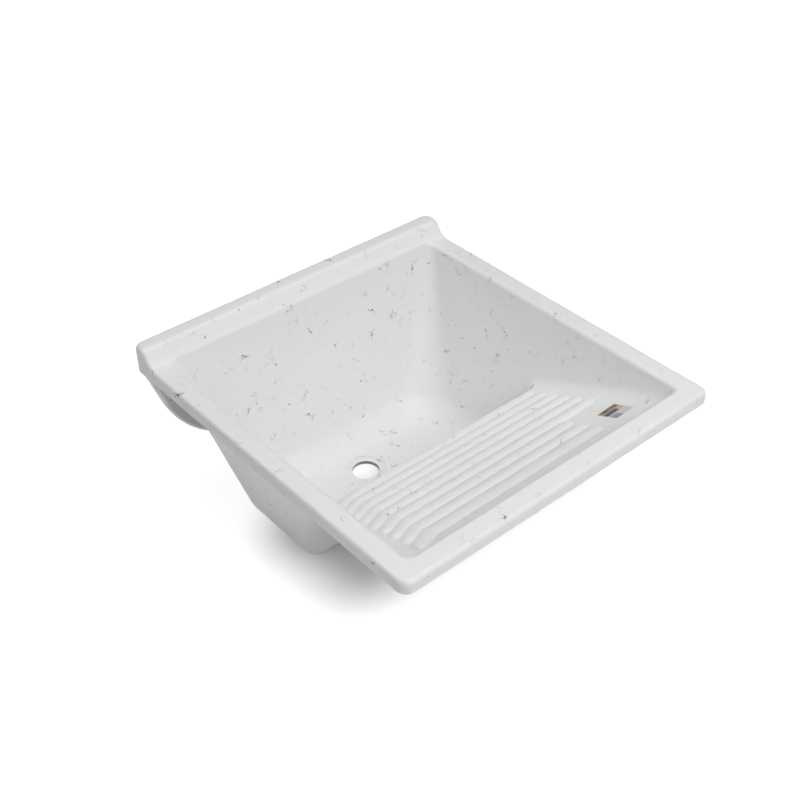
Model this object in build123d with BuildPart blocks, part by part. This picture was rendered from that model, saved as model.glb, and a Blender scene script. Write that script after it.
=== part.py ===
"""Wall-hung laundry tub: a marbled casting with a deep bowl and a ribbed washboard, hung by a
back panel. Millimetres; +Z is up, +Y points to the wall, and the origin is the centre of the
wall face at the height of the rim."""
import os
from math import asin, atan, cos, hypot, radians, sin, tan

from build123d import *

os.makedirs("parts", exist_ok=True)

# Rim and skirt
tub_width = 556.0
tub_depth = 582.0
wall = 5.5
skirt_height = 18.0
rim_corner_radius = 15.5
rim_edge_radius = 7.0

# Mouth of the bowl, with a soft lip all round
side_rim = 32.0
front_rim = 33.0
rear_deck = 44.5
lip_radius = 8.0

# Bowl: leaning walls, rear corners that widen with depth like a cone from its apex above the rim,
# and a wide fillet round the floor
bowl_depth = 258.0
wall_draft = 0.235
corner_apex_rise = 76.0
corner_cone_angle = 10.4
floor_radius = 50.0

# Corners along the washboard's flanks and at its front wall
flank_radius = 18.0
front_corner_radius = 11.0

# Washboard: its slope, its round nose and the wall that drops from there into the bowl
board_front_drop = 21.5
board_slope = 0.42
board_length = 232.5
board_wall_draft = 0.26
nose_radius = 10.0

# Washboard ribs, counted up the slope from the nose and growing wider towards the front;
# the last ones stop short at a bare land on the right, and the left ends bend to the front
rib_count = 9
rib_first = 14.6
rib_pitch = 21.5
rib_growth_share = 0.027
rib_height = 4.2
rib_sole = 0.6
rib_right_gap = 17.0
rib_left_gap = 29.0
rib_bend_length = 28.0
rib_bend_angle = 26.0
short_rib_count = 3
land_width = 92.0

# Upstand along the wall
upstand_height = 23.5
upstand_thickness = 27.0
upstand_lean = 15.0
upstand_top_radius = 12.0
upstand_cove_radius = 22.0

# Drain, in a shallow recess with a boss under it
drain_from_wall = 172.5
drain_radius = 21.5
drain_recess_radius = 33.0
drain_recess_depth = 1.5
drain_boss_radius = 39.0

# Back panel, lapped inside the skirt's rear wall and bonded to it
panel_thickness = 15.5
panel_drop = 214.5
panel_lean = 0.35
panel_arc_radius = 180.0
panel_edge_chamfer = 4.0

# Screw holes in the panel
screw_hole_radius = 4.5
screw_spacing = 468.0
screw_drop = 87.0

# Webs that tie the panel to the bowl
web_thickness = 7.0
web_spacing = 240.0
web_drop = 196.0
web_rise = 46.0

# Label on the bare land
label_width = 37.0
label_height = 35.0
label_thickness = 0.3
label_from_side = 56.0
label_from_front = 61.0
label_turn = 4

# Cuts run past the faces that they open by this much
overrun = 30.0

# Places that follow from the sizes above
mouth_half = tub_width / 2 - side_rim
mouth_rear = -rear_deck
mouth_front = front_rim - tub_depth
nose_y = mouth_front + board_length
nose_z = -board_front_drop - board_slope * board_length
board_angle = atan(board_slope)
board_run = board_length / cos(board_angle)
upstand_foot = -upstand_thickness - upstand_lean
cove_foot = upstand_foot - upstand_cove_radius


def low(edge):
    return edge.bounding_box().min


def high(edge):
    return edge.bounding_box().max


def nose_edge(grow):
    """Where the washboard's surface meets the wall below it, in Y and Z."""
    sink = grow * hypot(1, board_slope)
    step = grow * hypot(1, board_wall_draft)
    run = (step - board_wall_draft * sink) / (1 + board_wall_draft * board_slope)
    return nose_y - run, nose_z - sink + board_slope * run


def rear_corners(grow, low_z, high_z):
    """Cones that round both rear corners, and the planes through their lines of contact."""
    lean = hypot(1, wall_draft)
    side = Vector(1, 0, -wall_draft) / lean
    rear = Vector(0, 1, -wall_draft) / lean
    valley = side.cross(rear).normalized()
    spread = (side + rear).normalized()
    half_angle = radians(corner_cone_angle)
    tilt = asin(sin(half_angle) / side.dot(spread))
    axis = spread * -sin(tilt) - valley * cos(tilt)
    rise = wall_draft * corner_apex_rise
    apex = Vector(mouth_half + rise, mouth_rear + rise, corner_apex_rise)
    apex = apex - axis * (grow / sin(half_angle))
    contact = (axis + side * sin(half_angle)).cross(axis + rear * sin(half_angle))
    chords = (
        Plane(origin=apex, z_dir=contact),
        Plane(origin=(-apex.X, apex.Y, apex.Z), z_dir=(-contact.X, contact.Y, contact.Z)),
    )
    reach = 2 * (bowl_depth + corner_apex_rise)
    with BuildPart() as cones:
        with BuildSketch(Plane(origin=apex, x_dir=axis, z_dir=side - rear)):
            Polygon(
                (wall, 0),
                (reach, 0),
                (reach, -reach * tan(half_angle)),
                (wall, -wall * tan(half_angle)),
                align=None,
            )
        revolve(axis=Axis(apex, axis))
        split(bisect_by=chords[0], keep=Keep.TOP)
        mirror(about=Plane.YZ)
        split(bisect_by=Plane((0, 0, high_z)), keep=Keep.BOTTOM)
        split(bisect_by=Plane((0, 0, low_z)), keep=Keep.TOP)
    return cones.part, chords


def hollow(grow, top):
    """The space of the bowl and over the washboard, grown by a wall's thickness for its outside."""
    edge_y, edge_z = nose_edge(grow)
    floor_z = -bowl_depth - grow
    front_y = mouth_front - 2 * overrun
    front_z = edge_z + board_slope * (edge_y - front_y)
    foot_z = floor_z - overrun
    foot_y = edge_y + board_wall_draft * (edge_z - foot_z)

    cones, chords = rear_corners(grow, floor_z, top)
    walls = (
        Plane(origin=(mouth_half, 0, 0), z_dir=(1, 0, -wall_draft)).offset(grow),
        Plane(origin=(-mouth_half, 0, 0), z_dir=(-1, 0, -wall_draft)).offset(grow),
        Plane(origin=(0, mouth_rear, 0), z_dir=(0, 1, -wall_draft)).offset(grow),
        Plane(origin=(0, mouth_front, 0), z_dir=(0, -1, -wall_draft)).offset(grow),
        *chords,
    )
    with BuildPart() as space:
        # A block between the leaning walls, with cones for its rear corners
        with BuildSketch(Plane((0, -tub_depth / 2, floor_z))):
            Rectangle(2 * tub_width, 2 * tub_depth)
        extrude(amount=top - floor_z)
        for face in walls:
            split(bisect_by=face, keep=Keep.BOTTOM)
        add(cones)

        # Less what lies under the washboard and its nose
        with BuildSketch(Plane.YZ.offset(-tub_width)):
            with BuildLine():
                FilletPolyline(
                    (front_y, front_z),
                    (edge_y, edge_z),
                    (foot_y, foot_z),
                    radius=nose_radius - grow,
                )
                Polyline((foot_y, foot_z), (front_y, foot_z), (front_y, front_z))
            make_face()
        extrude(amount=2 * tub_width, mode=Mode.SUBTRACT)

        # Floor fillet, then the run along each flank and down the corner below the nose
        floor = space.edges().filter_by(lambda e: high(e).Z < floor_z + wall)
        fillet(floor, floor_radius + grow)
        flanks = space.edges().filter_by(
            lambda e: high(e).Z - low(e).Z > wall / 2
            and high(e).X - low(e).X < mouth_half
            and low(e).Y < nose_y + floor_radius
            and high(e).Y > mouth_front + overrun
        )
        fillet(flanks, flank_radius + grow)

        # Both corners of the front wall and its foot in one run
        front = space.edges().filter_by(
            lambda e: high(e).Y < mouth_front + wall
            and low(e).Z < top - wall / 2
            and (
                high(e).Z - low(e).Z > wall
                or high(e).X - low(e).X > mouth_half
                and high(e).Z < -board_front_drop
            )
        )
        fillet(front, front_corner_radius + grow)
    return space.part


# Frame of the washboard: X across, Y down the slope from the front of the mouth, Z out of the board
board_plane = Plane(
    origin=(0, mouth_front, -board_front_drop),
    x_dir=(1, 0, 0),
    z_dir=(0, sin(board_angle), cos(board_angle)),
)


def rib(place, width, left, right):
    """A rib with an arc section, round ends and a bent left end, its foot sunk in the board."""
    radius = (width**2 / 4 + rib_height**2) / (2 * rib_height)
    turn = radians(rib_bend_angle)
    bend = left + width / 2 + rib_bend_length * cos(turn)
    straight = right - width / 2 - bend
    knee = board_plane.from_local_coords((bend, place, rib_sole + rib_height - radius))
    heading = board_plane.x_dir * -cos(turn) - board_plane.y_dir * sin(turn)
    with BuildPart() as bar:
        # Straight length with two round ends
        with BuildSketch(Plane(origin=knee, x_dir=board_plane.x_dir, z_dir=board_plane.z_dir)):
            with BuildLine():
                Line((0, radius), (straight, radius))
                CenterArc((straight, 0), radius, 0, 90)
                Line((straight + radius, 0), (-radius, 0))
                CenterArc((0, 0), radius, 90, 90)
            make_face()
        revolve(axis=Axis(knee, board_plane.x_dir))

        # Bent length with its round end
        with BuildSketch(Plane(origin=knee, x_dir=heading, z_dir=board_plane.z_dir)):
            with BuildLine():
                Polyline((rib_bend_length + radius, 0), (0, 0), (0, radius), (rib_bend_length, radius))
                CenterArc((rib_bend_length, 0), radius, 0, 90)
            make_face()
        revolve(axis=Axis(knee, heading))

        # Only what stands out of the board
        with BuildSketch(board_plane.offset(-wall / 2)):
            with Locations(((left + right) / 2, place)):
                Rectangle(tub_width, tub_depth / 2)
        extrude(amount=wall / 2 + rib_sole + 2 * rib_height, mode=Mode.INTERSECT)
    return bar.part


# Ribs, set out from the nose to the front
ribs = []
place = board_run - rib_first
pitch = rib_pitch
for count in range(rib_count):
    depth = board_front_drop + board_slope * place * cos(board_angle)
    end = mouth_half - wall_draft * depth
    right_gap = land_width if count >= rib_count - short_rib_count else rib_right_gap
    ribs.append(rib(place, pitch + rib_sole, rib_left_gap - end, end - right_gap))
    place -= pitch
    pitch *= 1 + rib_growth_share

outside = hollow(wall, 0)
wet_side = hollow(0, upstand_height / 2)

# The casting: rim, skirt, upstand, bowl and washboard in one
with BuildPart() as tub:
    # Rim with its skirt, hollow below
    with BuildSketch(Plane((0, -tub_depth / 2, -skirt_height))):
        RectangleRounded(tub_width, tub_depth, rim_corner_radius)
    extrude(amount=skirt_height)
    with BuildSketch(Plane((0, -tub_depth / 2, -skirt_height))):
        RectangleRounded(tub_width - 2 * wall, tub_depth - 2 * wall, rim_corner_radius - wall)
    extrude(amount=skirt_height - wall, mode=Mode.SUBTRACT)

    # Upstand along the wall, with a leaning face, a cove at its foot and a hollow back
    with BuildSketch(Plane.YZ.offset(-tub_width / 2)):
        with BuildLine():
            FilletPolyline(
                (0, upstand_height),
                (-upstand_thickness, upstand_height),
                (upstand_foot, 0),
                (cove_foot, 0),
                radius=[upstand_top_radius, upstand_cove_radius],
            )
            Polyline((cove_foot, 0), (cove_foot, -wall), (0, -wall), (0, upstand_height))
        make_face()
    extrude(amount=tub_width)
    with BuildSketch(Plane((0, -tub_depth / 2, -skirt_height))):
        RectangleRounded(tub_width, tub_depth, rim_corner_radius)
    extrude(amount=skirt_height + upstand_height, mode=Mode.INTERSECT)
    with BuildSketch(Plane.YZ.offset(-tub_width / 2 + wall)):
        with BuildLine():
            Polyline(
                (-wall, -2 * wall),
                (-wall, upstand_height - wall),
                (wall - upstand_thickness, upstand_height - wall),
                (wall + upstand_foot, -2 * wall),
                close=True,
            )
        make_face()
    extrude(amount=tub_width - 2 * wall, mode=Mode.SUBTRACT)

    # Bowl and washboard
    add(outside)
    with BuildSketch(Plane((0, -drain_from_wall, -bowl_depth - wall - drain_recess_depth))):
        Circle(drain_boss_radius)
    extrude(amount=wall)
    add(wet_side, mode=Mode.SUBTRACT)

    # Soft lip round the mouth, and rounded outer edge over rim and upstand
    lip = tub.edges().filter_by(
        lambda e: low(e).Z > -rim_edge_radius / 2
        and high(e).Z < lip_radius
        and high(e).X < mouth_half + wall
        and low(e).X > -mouth_half - wall
        and low(e).Y > mouth_front - wall
        and high(e).Y < mouth_rear + wall
    )
    fillet(lip, lip_radius)
    outer = tub.edges().filter_by(
        lambda e: low(e).Z > -rim_edge_radius / 2
        and (
            high(e).X - low(e).X < rim_edge_radius / 2
            and max(high(e).X, -low(e).X) > tub_width / 2 - rim_edge_radius / 2
            or low(e).Y < front_rim / 2 - tub_depth
            or high(e).Y > -rim_edge_radius / 2
        )
        and not high(e).Z - low(e).Z > upstand_height / 2
    )
    fillet(outer, rim_edge_radius)

    # Ribs
    for bar in ribs:
        add(bar)

    # Drain hole in its recess
    with BuildSketch(Plane((0, -drain_from_wall, -bowl_depth - drain_recess_depth))):
        Circle(drain_recess_radius)
    extrude(amount=drain_recess_depth + wall, mode=Mode.SUBTRACT)
    with BuildSketch(Plane((0, -drain_from_wall, -bowl_depth - overrun))):
        Circle(drain_radius)
    extrude(amount=2 * overrun, mode=Mode.SUBTRACT)
tub.part.label = "tub"
export_step(tub.part, "parts/tub.step")

# Back panel: straight flanks running into a wide arc, its top stepped to lap inside the skirt
with BuildPart() as wall_panel:
    panel_half = tub_width / 2 - wall
    with BuildSketch(Plane.XZ):
        with BuildLine():
            low_half = panel_half - panel_lean * (panel_drop - skirt_height)
            FilletPolyline(
                (panel_half, -skirt_height),
                (low_half, -panel_drop),
                (-low_half, -panel_drop),
                (-panel_half, -skirt_height),
                radius=panel_arc_radius,
            )
            Line((-panel_half, -skirt_height), (panel_half, -skirt_height))
        make_face()
    extrude(amount=panel_thickness)
    front = wall_panel.faces().sort_by(Axis.Y)[0]
    chamfer(front.edges().filter_by(lambda e: low(e).Z < -skirt_height - wall), panel_edge_chamfer)
    with BuildSketch(Plane.XZ.offset(wall)):
        with Locations((0, -skirt_height / 2 - wall / 2)):
            Rectangle(tub_width - 2 * rim_corner_radius, skirt_height - wall)
    extrude(amount=panel_thickness - wall)
    with BuildSketch(Plane.XZ):
        with Locations((-screw_spacing / 2, -screw_drop), (screw_spacing / 2, -screw_drop)):
            Circle(screw_hole_radius)
    extrude(amount=panel_thickness, mode=Mode.SUBTRACT)
wall_panel.part.label = "wall_panel"
export_step(wall_panel.part, "parts/wall_panel.step")

# Webs between the panel and the back of the bowl
for side, name in ((-1, "web_left"), (1, "web_right")):
    with BuildPart() as web:
        reach = rear_deck + overrun
        with BuildSketch(Plane.YZ.offset(side * web_spacing / 2 - web_thickness / 2)):
            with BuildLine():
                Polyline(
                    (-panel_thickness, -wall),
                    (-panel_thickness, -web_drop),
                    (-panel_thickness - reach, -web_drop + web_rise),
                    (-panel_thickness - reach, -wall),
                    close=True,
                )
            make_face()
        extrude(amount=web_thickness)
        add(outside, mode=Mode.SUBTRACT)
    web.part.label = name
    export_step(web.part, f"parts/{name}.step")

# Label on the bare land
label_plane = Plane(
    origin=board_plane.from_local_coords((mouth_half - label_from_side, label_from_front, 0)),
    x_dir=board_plane.x_dir,
    z_dir=board_plane.z_dir,
)
with BuildPart() as label:
    with BuildSketch(label_plane):
        with Locations(Location((0, 0, 0), (0, 0, label_turn))):
            Rectangle(label_width, label_height)
    extrude(amount=label_thickness)
label.part.label = "label"
export_step(label.part, "parts/label.step")
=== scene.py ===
from math import atan, cos, radians, sin

import bmesh
import bpy
from bpy.props import FloatProperty, FloatVectorProperty, PointerProperty
from mathutils import Matrix, Vector


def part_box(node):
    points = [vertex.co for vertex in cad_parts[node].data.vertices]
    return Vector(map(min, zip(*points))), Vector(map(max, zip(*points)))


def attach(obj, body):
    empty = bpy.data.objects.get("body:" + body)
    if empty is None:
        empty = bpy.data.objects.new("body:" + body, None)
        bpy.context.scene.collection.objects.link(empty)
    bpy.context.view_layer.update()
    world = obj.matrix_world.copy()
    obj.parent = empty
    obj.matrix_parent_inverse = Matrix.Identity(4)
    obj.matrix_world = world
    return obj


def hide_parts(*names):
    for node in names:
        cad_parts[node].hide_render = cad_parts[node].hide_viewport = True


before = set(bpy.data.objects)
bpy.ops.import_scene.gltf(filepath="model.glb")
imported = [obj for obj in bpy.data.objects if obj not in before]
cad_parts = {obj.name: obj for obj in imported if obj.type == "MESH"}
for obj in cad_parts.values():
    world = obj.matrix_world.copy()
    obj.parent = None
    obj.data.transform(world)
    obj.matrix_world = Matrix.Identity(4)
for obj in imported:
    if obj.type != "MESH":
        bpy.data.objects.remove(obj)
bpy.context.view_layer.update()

bl_info = {
    "name": "Laundry tub",
    "version": (1, 0, 0),
    "blender": (4, 5, 0),
    "location": "View3D > Sidebar > Laundry tub",
    "description": "Dresses a wall-hung laundry tub in marbled gelcoat and sets it in a white studio",
    "category": "Object",
}

TUB_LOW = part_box("tub")[0]
LABEL_LOW, LABEL_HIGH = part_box("label")
DRAIN_FOOT = Vector((0.0, -0.1725, TUB_LOW.z))
DRAIN_RADIUS = 0.0215
WALL = 0.0055

# Painted shadow on the floor, a soft grey patch of its glow: its middle, its half sizes, and how far it
# fades out around them
SHADOW_PATCH_MIDDLE = (0.05, -0.28)
SHADOW_PATCH_HALF = (0.18, 0.05)
SHADOW_PATCH_FADE = 0.14

# Each lamp's place, its size and the studio value that holds its power
LAMPS = {
    "top_lamp": ((0.0, -0.3, 2.0), 1.6, "top_power"),
    "front_lamp": ((0.0, -2.0, 1.4), 1.4, "front_power"),
    "right_lamp": ((1.4, -0.3, 1.4), 1.4, "right_power"),
    "side_lamp": ((1.5, -1.8, 1.0), 1.2, "side_power"),
    "rear_lamp": ((-1.5, 1.2, 1.3), 1.2, "rear_power"),
    "left_lamp": ((-1.6, -1.6, 1.2), 1.2, "left_power"),
    "wall_lamp": ((0.0, 1.2, 1.6), 1.4, "wall_power"),
}
LAMP_AIM = Vector((0.0, -0.3, -0.1))

CAMERA_PLACE = (-0.9227, -1.3155, 1.0501)
CAMERA_TURN = radians(-41.0)
CAMERA_TILT = radians(38.52)


class TubFinish(bpy.types.PropertyGroup):
    """Colours and scale of the marbled gelcoat."""

    white: FloatVectorProperty(
        name="White", description="Ground colour of the gelcoat", subtype="COLOR",
        default=(0.885, 0.885, 0.88), min=0.0, max=1.0)
    vein: FloatVectorProperty(
        name="Hairs", description="Colour of the dark hairs", subtype="COLOR",
        default=(0.055, 0.052, 0.05), min=0.0, max=1.0)
    gloss: FloatProperty(
        name="Roughness", description="Roughness of the gelcoat", subtype="FACTOR",
        default=0.34, min=0.0, max=1.0)
    hair_size: FloatProperty(
        name="Hair size", description="How far a dark hair reaches to each side of its middle",
        unit="LENGTH", default=0.012, min=0.002)


class LabelSizes(bpy.types.PropertyGroup):
    """The sticker on the bare land of the washboard."""

    width: FloatProperty(
        name="Width", description="Width of the label", unit="LENGTH", default=0.037, min=0.005)
    height: FloatProperty(
        name="Height", description="Height of the label", unit="LENGTH", default=0.035, min=0.005)
    turn: FloatProperty(
        name="Turn", description="How far the label was stuck on askew", subtype="ANGLE",
        default=radians(4.0))
    board_angle: FloatProperty(
        name="Board angle", description="Slope of the washboard under the label", subtype="ANGLE",
        default=-atan(0.42))


class Studio(bpy.types.PropertyGroup):
    """Floor, lamps and camera."""

    top_power: FloatProperty(
        name="Top lamp", description="Power of the large lamp over the tub", unit="POWER",
        default=18.5, min=0.0)
    front_power: FloatProperty(
        name="Front lamp", description="Power of the large lamp above and in front", unit="POWER",
        default=17.5, min=0.0)
    right_power: FloatProperty(
        name="Right lamp", description="Power of the lamp over the right side", unit="POWER",
        default=4.8, min=0.0)
    side_power: FloatProperty(
        name="Side lamp", description="Power of the lamp at the front right", unit="POWER",
        default=3.9, min=0.0)
    rear_power: FloatProperty(
        name="Rear lamp", description="Power of the lamp behind the left side", unit="POWER",
        default=4.0, min=0.0)
    left_power: FloatProperty(
        name="Left lamp", description="Power of the lamp at the front left", unit="POWER",
        default=7.2, min=0.0)
    wall_power: FloatProperty(
        name="Wall lamp", description="Power of the lamp high behind the upstand", unit="POWER",
        default=3.9, min=0.0)
    # Painted shadow: the floor's glow in the grey patch round the bowl
    floor_shadow_glow: FloatProperty(
        name="Floor near the tub", description="Glow of the floor that stays soft grey by the bowl",
        default=0.02, min=0.0)
    floor_far: FloatProperty(
        name="Floor far away", description="Glow that makes the rest of the floor white",
        default=0.8, min=0.0)
    lens: FloatProperty(
        name="Lens", description="Focal length of the camera", subtype="DISTANCE_CAMERA",
        default=56.2, min=10.0)


class Shader:
    """A material's nodes, each added by one call and wired to the values that it takes."""

    def __init__(self, name):
        self.material = bpy.data.materials.new(name)
        self.material.use_nodes = True
        self.nodes = self.material.node_tree.nodes
        self.links = self.material.node_tree.links
        self.surface = self.nodes["Principled BSDF"]

    def add(self, kind, inputs=(), **settings):
        node = self.nodes.new(kind)
        for key, value in settings.items():
            setattr(node, key, value)
        for key, value in dict(inputs).items():
            self.put(node.inputs[key], value)
        return node

    def put(self, socket, value):
        if isinstance(value, bpy.types.NodeSocket):
            self.links.new(value, socket)
        else:
            socket.default_value = value

    def math(self, operation, *values, clamp=False):
        node = self.nodes.new("ShaderNodeMath")
        node.operation = operation
        node.use_clamp = clamp
        for socket, value in zip(node.inputs, values):
            self.put(socket, value)
        return node.outputs[0]

    def ramp(self, value, low, high):
        """0 at low and 1 at high, smooth between."""
        node = self.add("ShaderNodeMapRange", {"Value": value, "From Min": low, "From Max": high},
                        interpolation_type="SMOOTHSTEP")
        return node.outputs["Result"]

    def noise(self, place, size, detail=2.0, roughness=0.5, distortion=0.0):
        node = self.add("ShaderNodeTexNoise", {
            "Vector": place, "Scale": 1 / size, "Detail": detail, "Roughness": roughness,
            "Distortion": distortion})
        return node.outputs["Fac"]

    def vector(self, operation, *values):
        node = self.add("ShaderNodeVectorMath", operation=operation)
        for socket, value in zip(node.inputs, values):
            self.put(socket, value)
        return node.outputs["Value" if operation in {"DOT_PRODUCT", "LENGTH"} else "Vector"]

    def shifted(self, place, x, y, z):
        return self.vector("ADD", place, (x, y, z))


def gelcoat():
    """White gelcoat with dark and faint hairs, each a curl that tapers out to both sides, and painted shade
    on the wall of the drain hole.
    """
    finish = bpy.context.scene.tub_finish
    s = Shader("marbled_gelcoat")
    place = s.add("ShaderNodeTexCoord").outputs["Object"]
    parts = s.add("ShaderNodeSeparateXYZ", {"Vector": place})

    # More hairs in the bowl than on the washboard and the rim
    crowding = s.math("MULTIPLY", s.ramp(parts.outputs["Y"], -0.45, -0.2),
                      s.math("MULTIPLY_ADD", s.ramp(parts.outputs["Z"], -0.03, 0.0), -0.8, 1.0))

    def hairs(spacing, shift, reach, thickness, amount, crowded, curl):
        """Where a thin curled sheet in some cells of space meets the surface, and each one's strength."""
        at = s.shifted(place, *shift)
        cells = s.add("ShaderNodeTexVoronoi", {"Vector": at, "Scale": 1 / spacing, "Randomness": 1.0})
        parts = s.add("ShaderNodeSeparateColor", {"Color": cells.outputs["Color"]})
        away = s.vector("SUBTRACT", at, cells.outputs["Position"])
        facing = s.vector("NORMALIZE", s.shifted(cells.outputs["Color"], -0.5, -0.5, -0.5))
        lean = s.vector("DOT_PRODUCT", away, facing)
        bend = s.math("SUBTRACT", s.noise(at, reach * curl, 2.0, 0.6), 0.5)
        sheet = s.math("ABSOLUTE", s.math("MULTIPLY_ADD", bend, reach * 1.5, lean))
        share = s.math("DIVIDE", s.vector("LENGTH", away), reach)
        body = s.math("SUBTRACT", 1.0, share, clamp=True)
        width = s.math("MULTIPLY_ADD", s.math("POWER", body, 1.9), thickness, 1e-6)
        line = s.math("SUBTRACT", 1.0, s.math("DIVIDE", sheet, width), clamp=True)
        draw = s.math("FRACT", s.math("MULTIPLY", parts.outputs["Red"], 13.7))
        limit = s.math("MULTIPLY_ADD", crowding, crowded - amount, amount)
        chosen = s.math("LESS_THAN", draw, limit)
        strength = s.math("FRACT", s.math("MULTIPLY", parts.outputs["Green"], 11.3))
        ink = s.math("MULTIPLY", s.ramp(line, 0.0, 0.5), chosen)
        return ink, strength

    size = finish.hair_size
    dark, strength = hairs(spacing=size * 2.3, shift=(0.31, 0.12, 0.73), reach=size * 1.15,
                           thickness=0.0019, amount=0.17, crowded=0.33, curl=0.5)
    dark = s.math("MULTIPLY", dark, s.math("MULTIPLY_ADD", strength, 0.6, 0.4))
    short, strength = hairs(spacing=size * 1.5, shift=(0.57, 0.93, 0.21), reach=size * 0.4,
                            thickness=0.0018, amount=0.1, crowded=0.16, curl=0.8)
    short = s.math("MULTIPLY", short, s.math("MULTIPLY_ADD", strength, 0.6, 0.3))
    faint, strength = hairs(spacing=size * 1.4, shift=(0.83, 0.41, 0.05), reach=size,
                            thickness=0.0013, amount=0.35, crowded=0.6, curl=0.5)
    faint = s.math("MULTIPLY", faint, s.math("MULTIPLY_ADD", strength, 0.28, 0.06))
    dark = s.math("MAXIMUM", s.math("MAXIMUM", dark, short), faint)

    cloud = s.noise(place, 0.09, 3.0)
    ground = s.add("ShaderNodeMix", {"A": tuple(finish.white) + (1,),
                                     "B": tuple(c * 0.975 for c in finish.white) + (1,),
                                     "Factor": cloud}, data_type="RGBA")
    colour = s.add("ShaderNodeMix", {"A": ground.outputs["Result"], "B": tuple(finish.vein) + (1,),
                                     "Factor": dark}, data_type="RGBA")

    # Painted shade on the inner wall of the drain hole, darker to the right
    drain = s.shifted(place, *-DRAIN_FOOT)
    parts = s.add("ShaderNodeSeparateXYZ", {"Vector": drain})
    out = s.vector("LENGTH", s.vector("MULTIPLY", drain, (1, 1, 0)))
    edge = s.math("MULTIPLY", s.math("LESS_THAN", out, DRAIN_RADIUS + 0.0003),
                  s.math("LESS_THAN", parts.outputs["Z"], WALL + 0.0001))
    shade = s.math("MULTIPLY_ADD", s.ramp(parts.outputs["X"], -0.018, 0.01), 0.45, 0.5)
    # Painted shade: the drain hole's wall turns dark grey
    drain_painted_shade = s.add("ShaderNodeMix", {"A": colour.outputs["Result"], "B": (0.2, 0.2, 0.2, 1),
                                  "Factor": s.math("MULTIPLY", edge, shade)}, data_type="RGBA")
    s.put(s.surface.inputs["Base Color"], drain_painted_shade.outputs["Result"])

    # Faint waves of the mould under the gloss
    wave = s.noise(place, 0.035, 1.0)
    bump = s.add("ShaderNodeBump", {"Height": wave, "Strength": 0.12, "Distance": 0.0006})
    s.put(s.surface.inputs["Normal"], bump.outputs["Normal"])
    s.surface.inputs["Roughness"].default_value = finish.gloss
    s.surface.inputs["IOR"].default_value = 1.5
    return s.material


def bare_resin():
    """The matt filled resin of the webs."""
    s = Shader("bare_resin")
    place = s.add("ShaderNodeTexCoord").outputs["Object"]
    grain = s.noise(place, 0.004, 4.0, 0.6)
    tone = s.add("ShaderNodeMix", {"A": (0.70, 0.70, 0.68, 1), "B": (0.60, 0.60, 0.58, 1), "Factor": grain},
                 data_type="RGBA")
    s.put(s.surface.inputs["Base Color"], tone.outputs["Result"])
    bump = s.add("ShaderNodeBump", {"Height": grain, "Strength": 0.4, "Distance": 0.0004})
    s.put(s.surface.inputs["Normal"], bump.outputs["Normal"])
    s.surface.inputs["Roughness"].default_value = 0.65
    return s.material


def label_print():
    """Plain colour blocks under a satin film, placed by shares of the label's width and height."""
    sizes = bpy.context.scene.tub_label
    s = Shader("label_print")
    centre = (LABEL_LOW + LABEL_HIGH) / 2
    along = Matrix.Rotation(sizes.board_angle, 3, "X") @ Matrix.Rotation(sizes.turn, 3, "Z")
    offset = s.shifted(s.add("ShaderNodeTexCoord").outputs["Object"], *-centre)

    def share(axis, length):
        return s.math("MULTIPLY_ADD", s.vector("DOT_PRODUCT", offset, axis), 1 / length, 0.5)

    u, v = share(along.col[0], sizes.width), share(along.col[1], sizes.height)

    def block(left, right, bottom, top):
        inside = s.math("MULTIPLY", s.math("GREATER_THAN", u, left), s.math("LESS_THAN", u, right))
        height = s.math("MULTIPLY", s.math("GREATER_THAN", v, bottom), s.math("LESS_THAN", v, top))
        return s.math("MULTIPLY", inside, height)

    hatch_lines = 14.0
    hatch = s.math("GREATER_THAN", s.math("FRACT", s.math("MULTIPLY", v, hatch_lines)), 0.5)
    fine = s.add("ShaderNodeMix", {"A": (0.82, 0.80, 0.84, 1), "B": (0.46, 0.46, 0.48, 1), "Factor": hatch},
                 data_type="RGBA")
    colour = fine.outputs["Result"]

    # Left, right, bottom and top of each block, then its colour
    for area, shade in (
        ((0.0, 1.0, 0.75, 1.0), (0.09, 0.065, 0.06, 1)),
        ((0.4, 0.9, 0.8, 0.93), (0.27, 0.22, 0.08, 1)),
        ((0.0, 0.18, 0.75, 1.0), (0.42, 0.2, 0.1, 1)),
        ((0.0, 0.7, 0.44, 0.72), (0.09, 0.075, 0.09, 1)),
        ((0.72, 1.0, 0.45, 0.75), (0.70, 0.41, 0.13, 1)),
        ((0.0, 0.4, 0.0, 0.34), (0.32, 0.32, 0.33, 1)),
        ((0.35, 0.7, 0.28, 0.42), (0.70, 0.64, 0.72, 1)),
    ):
        mixed = s.add("ShaderNodeMix", {"A": colour, "B": shade, "Factor": block(*area)}, data_type="RGBA")
        colour = mixed.outputs["Result"]
    s.put(s.surface.inputs["Base Color"], colour)
    s.surface.inputs["Roughness"].default_value = 0.35
    return s.material


def keep_material(piece, material):
    piece.data.materials.clear()
    piece.data.materials.append(material)


def cast_copy(node, name):
    """A piece with a CAD node's shape, its faces joined and shaded smooth across their fillets."""
    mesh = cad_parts[node].data.copy()
    mesh.name = name
    mesh.materials.clear()
    if mesh.has_custom_normals:
        mesh.attributes.remove(mesh.attributes["custom_normal"])
    work = bmesh.new()
    work.from_mesh(mesh)
    bmesh.ops.remove_doubles(work, verts=work.verts, dist=1e-6)
    for face in work.faces:
        face.smooth = True
    for edge in work.edges:
        edge.smooth = not (len(edge.link_faces) == 2 and edge.calc_face_angle() > radians(38))
    work.to_mesh(mesh)
    work.free()
    piece = bpy.data.objects.new(name, mesh)
    bpy.context.scene.collection.objects.link(piece)
    normals = piece.modifiers.new("Even shading", "WEIGHTED_NORMAL")
    normals.keep_sharp = True
    normals.weight = 50
    return piece


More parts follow.
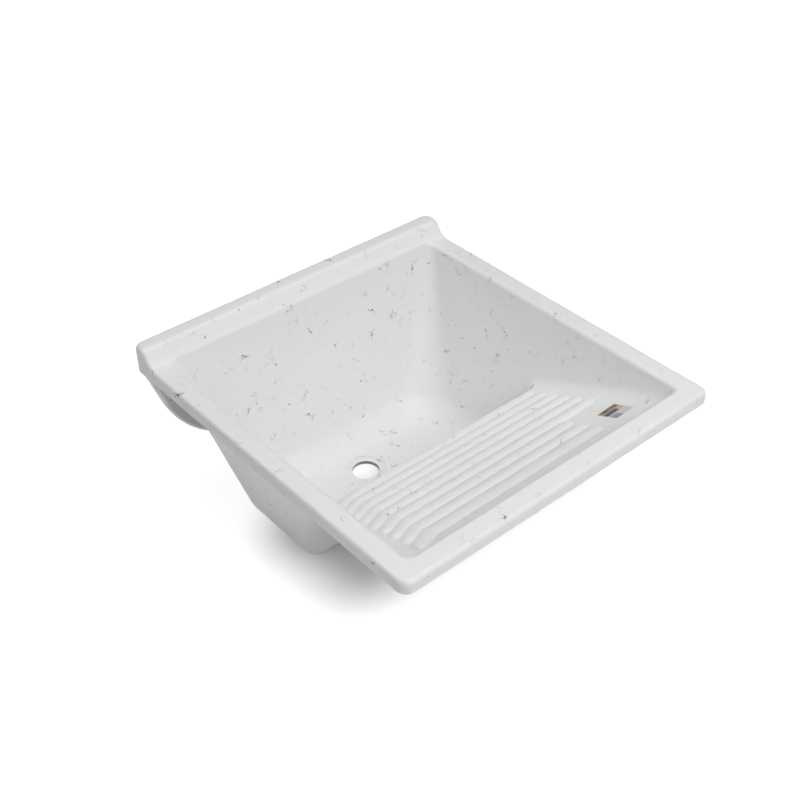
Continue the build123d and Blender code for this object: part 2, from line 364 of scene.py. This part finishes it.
class TUB_OT_casting(bpy.types.Operator):
    """Make the casting: rim, upstand, bowl and washboard in marbled gelcoat"""

    bl_idname = "laundry_tub.casting"
    bl_label = "Casting"

    def execute(self, context):
        piece = cast_copy("tub", "tub_casting")
        keep_material(piece, gelcoat())
        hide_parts("tub")
        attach(piece, "root")
        return {"FINISHED"}


class TUB_OT_back_panel(bpy.types.Operator):
    """Make the back panel with its screw holes"""

    bl_idname = "laundry_tub.back_panel"
    bl_label = "Back panel"

    def execute(self, context):
        piece = cast_copy("wall_panel", "back_panel")
        keep_material(piece, bpy.data.materials["marbled_gelcoat"])
        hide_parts("wall_panel")
        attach(piece, "root")
        return {"FINISHED"}


class TUB_OT_webs(bpy.types.Operator):
    """Give the webs behind the bowl their bare resin"""

    bl_idname = "laundry_tub.webs"
    bl_label = "Webs"

    def execute(self, context):
        material = bare_resin()
        for name in ("web_left", "web_right"):
            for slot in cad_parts[name].material_slots:
                slot.material = material
        return {"FINISHED"}


class TUB_OT_label(bpy.types.Operator):
    """Make the sticker on the bare land of the washboard"""

    bl_idname = "laundry_tub.label"
    bl_label = "Label"

    def execute(self, context):
        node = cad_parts["label"]
        material = label_print()
        for slot in node.material_slots:
            slot.material = material
        return {"FINISHED"}


class TUB_OT_stage(bpy.types.Operator):
    """Set the floor, the lamps and the camera"""

    bl_idname = "laundry_tub.stage"
    bl_label = "Stage"

    def execute(self, context):
        studio = context.scene.tub_studio
        self.floor(studio.floor_shadow_glow, studio.floor_far)
        for name, (place, size, power) in LAMPS.items():
            self.lamp(name, place, size, getattr(studio, power))
        self.surroundings()
        self.camera(studio.lens)
        context.scene.view_settings.view_transform = "Standard"
        return {"FINISHED"}

    def floor(self, near, far):
        """A white floor with a painted shadow, a soft grey patch of its glow round the bowl and under the
        front of the washboard.
        """
        work = bmesh.new()
        bmesh.ops.create_grid(work, x_segments=1, y_segments=1, size=6.0)
        mesh = bpy.data.meshes.new("floor")
        work.to_mesh(mesh)
        work.free()
        floor = bpy.data.objects.new("floor", mesh)
        floor.location = (0.0, -0.3, TUB_LOW.z)
        bpy.context.scene.collection.objects.link(floor)
        s = Shader("floor_white")
        s.surface.inputs["Base Color"].default_value = (0.8, 0.8, 0.8, 1)
        s.surface.inputs["Roughness"].default_value = 0.9
        s.surface.inputs["Specular IOR Level"].default_value = 0.0
        place = s.add("ShaderNodeNewGeometry").outputs["Position"]
        parts = s.add("ShaderNodeSeparateXYZ", {"Vector": place})
        past = {}
        for axis, middle, half in zip("XY", SHADOW_PATCH_MIDDLE, SHADOW_PATCH_HALF):
            off = s.math("ABSOLUTE", s.math("SUBTRACT", parts.outputs[axis], middle))
            past[axis] = s.math("MAXIMUM", s.math("SUBTRACT", off, half), 0.0)
        away = s.vector("LENGTH", s.add("ShaderNodeCombineXYZ", past).outputs["Vector"])
        # Painted shadow: the glow is low in the patch round the bowl and rises to white outside it
        level = s.math("MULTIPLY_ADD", s.ramp(away, 0.0, SHADOW_PATCH_FADE), far - near, near)
        level = s.math("MAXIMUM", level, s.ramp(away, 0.6, 1.6))
        path = s.add("ShaderNodeLightPath")
        seen = s.math("MAXIMUM", path.outputs["Is Camera Ray"], path.outputs["Is Glossy Ray"])
        seen = s.math("MAXIMUM", seen, path.outputs["Is Transmission Ray"])
        s.surface.inputs["Emission Color"].default_value = (1, 1, 1, 1)
        s.put(s.surface.inputs["Emission Strength"], s.math("MULTIPLY", seen, level))
        keep_material(floor, s.material)

    def lamp(self, name, place, size, power):
        data = bpy.data.lights.new(name, "AREA")
        data.shape = "DISK"
        data.size = size
        data.energy = power
        lamp = bpy.data.objects.new(name, data)
        lamp.location = place
        lamp.rotation_euler = (LAMP_AIM - Vector(place)).to_track_quat("-Z", "Y").to_euler()
        bpy.context.scene.collection.objects.link(lamp)

    def surroundings(self):
        """White to the eye, without light of its own."""
        world = bpy.data.worlds.new("studio")
        bpy.context.scene.world = world
        world.use_nodes = True
        nodes, links = world.node_tree.nodes, world.node_tree.links
        back = nodes["Background"]
        back.inputs["Color"].default_value = (1, 1, 1, 1)
        path = nodes.new("ShaderNodeLightPath")
        seen = nodes.new("ShaderNodeMath")
        seen.operation = "MAXIMUM"
        links.new(path.outputs["Is Camera Ray"], seen.inputs[0])
        links.new(path.outputs["Is Transmission Ray"], seen.inputs[1])
        links.new(seen.outputs[0], back.inputs["Strength"])

    def camera(self, lens):
        data = bpy.data.cameras.new("camera")
        data.lens = lens
        data.sensor_width = 36.0
        data.clip_start = 0.01
        camera = bpy.data.objects.new("camera", data)
        flat = cos(CAMERA_TILT)
        look = Vector((-sin(CAMERA_TURN) * flat, cos(CAMERA_TURN) * flat, -sin(CAMERA_TILT)))
        camera.location = CAMERA_PLACE
        camera.rotation_euler = look.to_track_quat("-Z", "Y").to_euler()
        bpy.context.scene.collection.objects.link(camera)
        bpy.context.scene.camera = camera


class TUB_PT_panel(bpy.types.Panel):
    """Lists the steps that make the laundry tub"""

    bl_idname = "TUB_PT_panel"
    bl_label = "Laundry tub"
    bl_space_type = "VIEW_3D"
    bl_region_type = "UI"
    bl_category = "Laundry tub"

    def draw(self, context):
        layout = self.layout
        for group in (context.scene.tub_finish, context.scene.tub_label, context.scene.tub_studio):
            for name in group.bl_rna.properties.keys():
                if name not in {"rna_type", "name"}:
                    layout.prop(group, name)
        for operator in OPERATORS:
            layout.operator(operator.bl_idname)


GROUPS = {"tub_finish": TubFinish, "tub_label": LabelSizes, "tub_studio": Studio}
OPERATORS = (TUB_OT_stage, TUB_OT_casting, TUB_OT_back_panel, TUB_OT_webs, TUB_OT_label)


def register():
    for group in GROUPS.values():
        bpy.utils.register_class(group)
    for name, group in GROUPS.items():
        setattr(bpy.types.Scene, name, PointerProperty(type=group))
    for operator in OPERATORS:
        bpy.utils.register_class(operator)
    bpy.utils.register_class(TUB_PT_panel)


def unregister():
    bpy.utils.unregister_class(TUB_PT_panel)
    for operator in reversed(OPERATORS):
        bpy.utils.unregister_class(operator)
    for name in GROUPS:
        delattr(bpy.types.Scene, name)
    for group in reversed(GROUPS.values()):
        bpy.utils.unregister_class(group)


def main():
    register()
    bpy.ops.laundry_tub.stage()
    bpy.ops.laundry_tub.casting()
    bpy.ops.laundry_tub.back_panel()
    bpy.ops.laundry_tub.webs()
    bpy.ops.laundry_tub.label()


if __name__ == "__main__":
    main()
